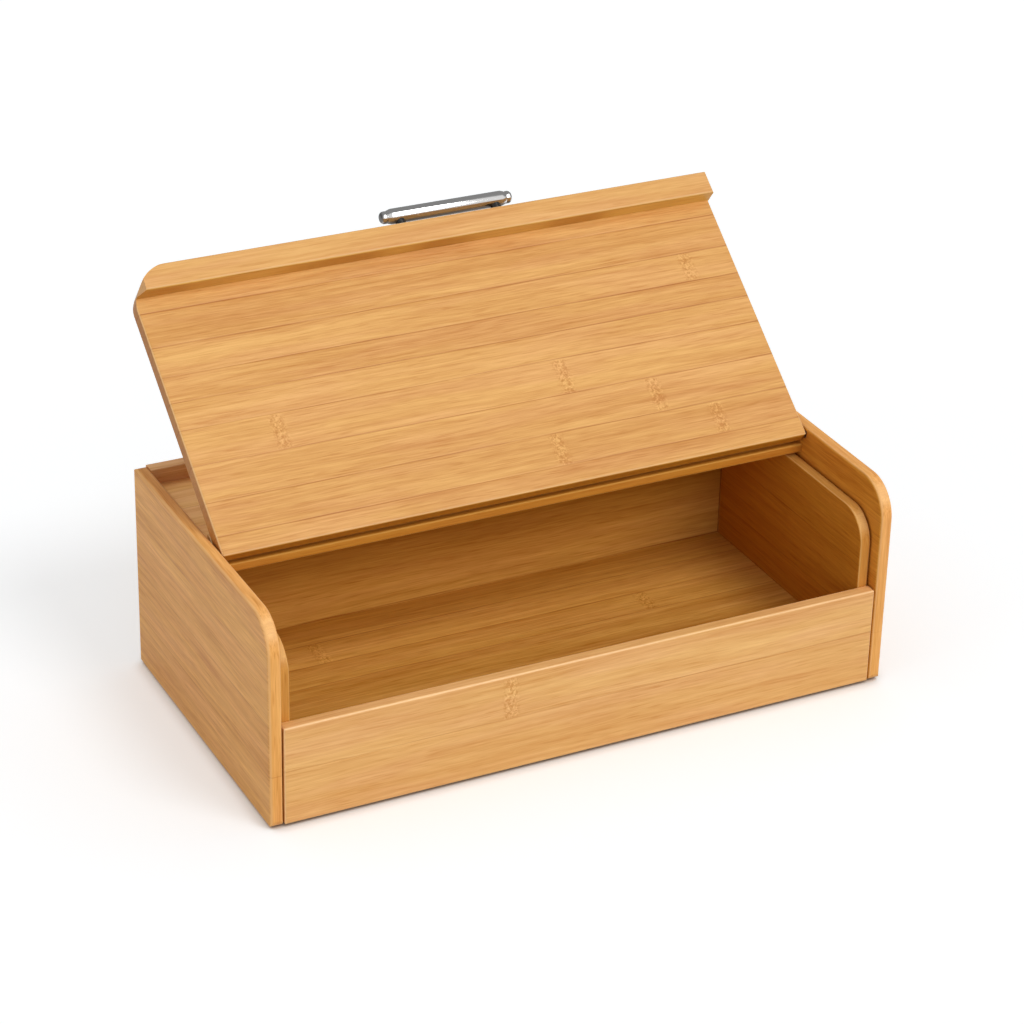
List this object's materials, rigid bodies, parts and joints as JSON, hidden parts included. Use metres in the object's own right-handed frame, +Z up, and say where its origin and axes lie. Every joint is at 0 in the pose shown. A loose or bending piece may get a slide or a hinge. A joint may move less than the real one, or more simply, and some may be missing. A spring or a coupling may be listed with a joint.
{
  "type": "bread box with drawer",
  "caption": "Bamboo bread box: an open-topped drawer in a casing, under a lid that slides forward and flips up and back, with a bar handle.",
  "frame": {"origin": "centre of the flat underside, on the surface that the box stands on", "axes": "+X to the right seen from the front, +Y to the rear, +Z up"},
  "size_m": [0.4, 0.2455, 0.2524],
  "materials": {
    "bamboo": "satin oiled edge-glued bamboo",
    "lid_bamboo": "satin oiled edge-glued bamboo, a little lighter",
    "dark_strip": "plain carbonised bamboo",
    "dowel_wood": "plain turned wood",
    "chrome": "polished chrome",
    "steel": "plain steel"
  },
  "bodies": {
    "casing": {"left_side": "bamboo", "right_side": "bamboo", "base_board": "bamboo", "back_panel": "bamboo", "deck_board": "bamboo", "left_runner": "dark_strip", "right_runner": "dark_strip", "drawer_stops": "dark_strip", "casing_dowels": "dowel_wood"},
    "carriage": {"carriage_bar": "bamboo", "left_shoe": "steel", "right_shoe": "steel", "carriage_screws": "steel"},
    "lid": {"lid_panel": "lid_bamboo", "lid_nose": "lid_bamboo", "nose_spline": "dark_strip", "lid_pins": "steel", "handle_bar": "chrome", "handle_feet": "chrome", "handle_screws": "steel"},
    "drawer": {"drawer_front": "bamboo", "drawer_left_side": "bamboo", "drawer_right_side": "bamboo", "drawer_back": "bamboo", "drawer_floor": "bamboo", "drawer_dowels": "dowel_wood"}
  },
  "joints": [
    {"name": "lid_slide", "type": "slide", "parent": "casing", "child": "carriage", "axis": [0, -1, 0], "range_m": [-0.0879, 0]},
    {"name": "lid_flip", "type": "hinge", "parent": "carriage", "child": "lid", "pos_m": [0, -0.0105, 0.1272], "axis": [-1, 0, 0], "range_deg": [-142, 0]},
    {"name": "drawer_slide", "type": "slide", "parent": "casing", "child": "drawer", "axis": [0, -1, 0], "range_m": [0, 0.15]}
  ]
}
